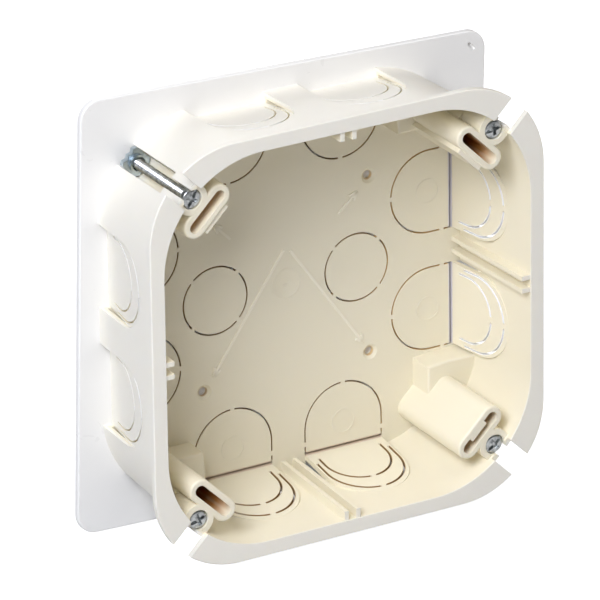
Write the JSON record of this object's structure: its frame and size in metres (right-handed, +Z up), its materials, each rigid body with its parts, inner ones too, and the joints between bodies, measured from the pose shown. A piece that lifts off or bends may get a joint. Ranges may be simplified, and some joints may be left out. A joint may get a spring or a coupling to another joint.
{
  "type": "flush junction box",
  "caption": "Square flush junction box for hollow walls with break-out cable entries, corner clamping screws with sliding claws, and a loose clip-in cover plate behind it.",
  "frame": {"origin": "centre of the four fixing holes, on the back face of the box's floor", "axes": "+Z up the wall, -Y out of the box's opening towards the room, +X to the right as seen from the room"},
  "size_m": [0.1312, 0.0487, 0.1312],
  "materials": {
    "ivory_plastic": "satin",
    "white_plastic": "satin",
    "plated_screw": "zinc plated",
    "plated_claw": "zinc plated"
  },
  "bodies": {
    "box": {"box_body": "ivory_plastic", "cover_plate": "white_plastic"},
    "screw_1": {"clamp_screw_1": "plated_screw"},
    "claw_1": {"clamp_claw_1": "plated_claw"},
    "screw_2": {"clamp_screw_2": "plated_screw"},
    "claw_2": {"clamp_claw_2": "plated_claw"},
    "screw_3": {"clamp_screw_3": "plated_screw"},
    "claw_3": {"clamp_claw_3": "plated_claw"},
    "screw_4": {"clamp_screw_4": "plated_screw"},
    "claw_4": {"clamp_claw_4": "plated_claw"}
  },
  "joints": [
    {"name": "screw_1_turn", "type": "hinge", "parent": "box", "child": "screw_1", "pos_m": [0.047, -0.0329, 0.047], "axis": [0, 1, 0], "range_deg": [-11160, 2160]},
    {"name": "claw_1_slide", "type": "slide", "parent": "box", "child": "claw_1", "axis": [0, -1, 0], "range_m": [-0.0155, 0.003]},
    {"name": "screw_2_turn", "type": "hinge", "parent": "box", "child": "screw_2", "pos_m": [-0.047, -0.0329, 0.047], "axis": [0, 1, 0], "range_deg": [0, 13320]},
    {"name": "claw_2_slide", "type": "slide", "parent": "box", "child": "claw_2", "axis": [0, -1, 0], "range_m": [0, 0.0185]},
    {"name": "screw_3_turn", "type": "hinge", "parent": "box", "child": "screw_3", "pos_m": [-0.047, -0.0329, -0.047], "axis": [0, 1, 0], "range_deg": [-11160, 2160]},
    {"name": "claw_3_slide", "type": "slide", "parent": "box", "child": "claw_3", "axis": [0, -1, 0], "range_m": [-0.0155, 0.003]},
    {"name": "screw_4_turn", "type": "hinge", "parent": "box", "child": "screw_4", "pos_m": [0.047, -0.0329, -0.047], "axis": [0, 1, 0], "range_deg": [-11160, 2160]},
    {"name": "claw_4_slide", "type": "slide", "parent": "box", "child": "claw_4", "axis": [0, -1, 0], "range_m": [-0.0155, 0.003]}
  ],
  "couplings": [
    {"joint": "screw_1_turn", "follows": "claw_1_slide", "rad_per_m": 12566},
    {"joint": "screw_2_turn", "follows": "claw_2_slide", "rad_per_m": 12566},
    {"joint": "screw_3_turn", "follows": "claw_3_slide", "rad_per_m": 12566},
    {"joint": "screw_4_turn", "follows": "claw_4_slide", "rad_per_m": 12566}
  ]
}
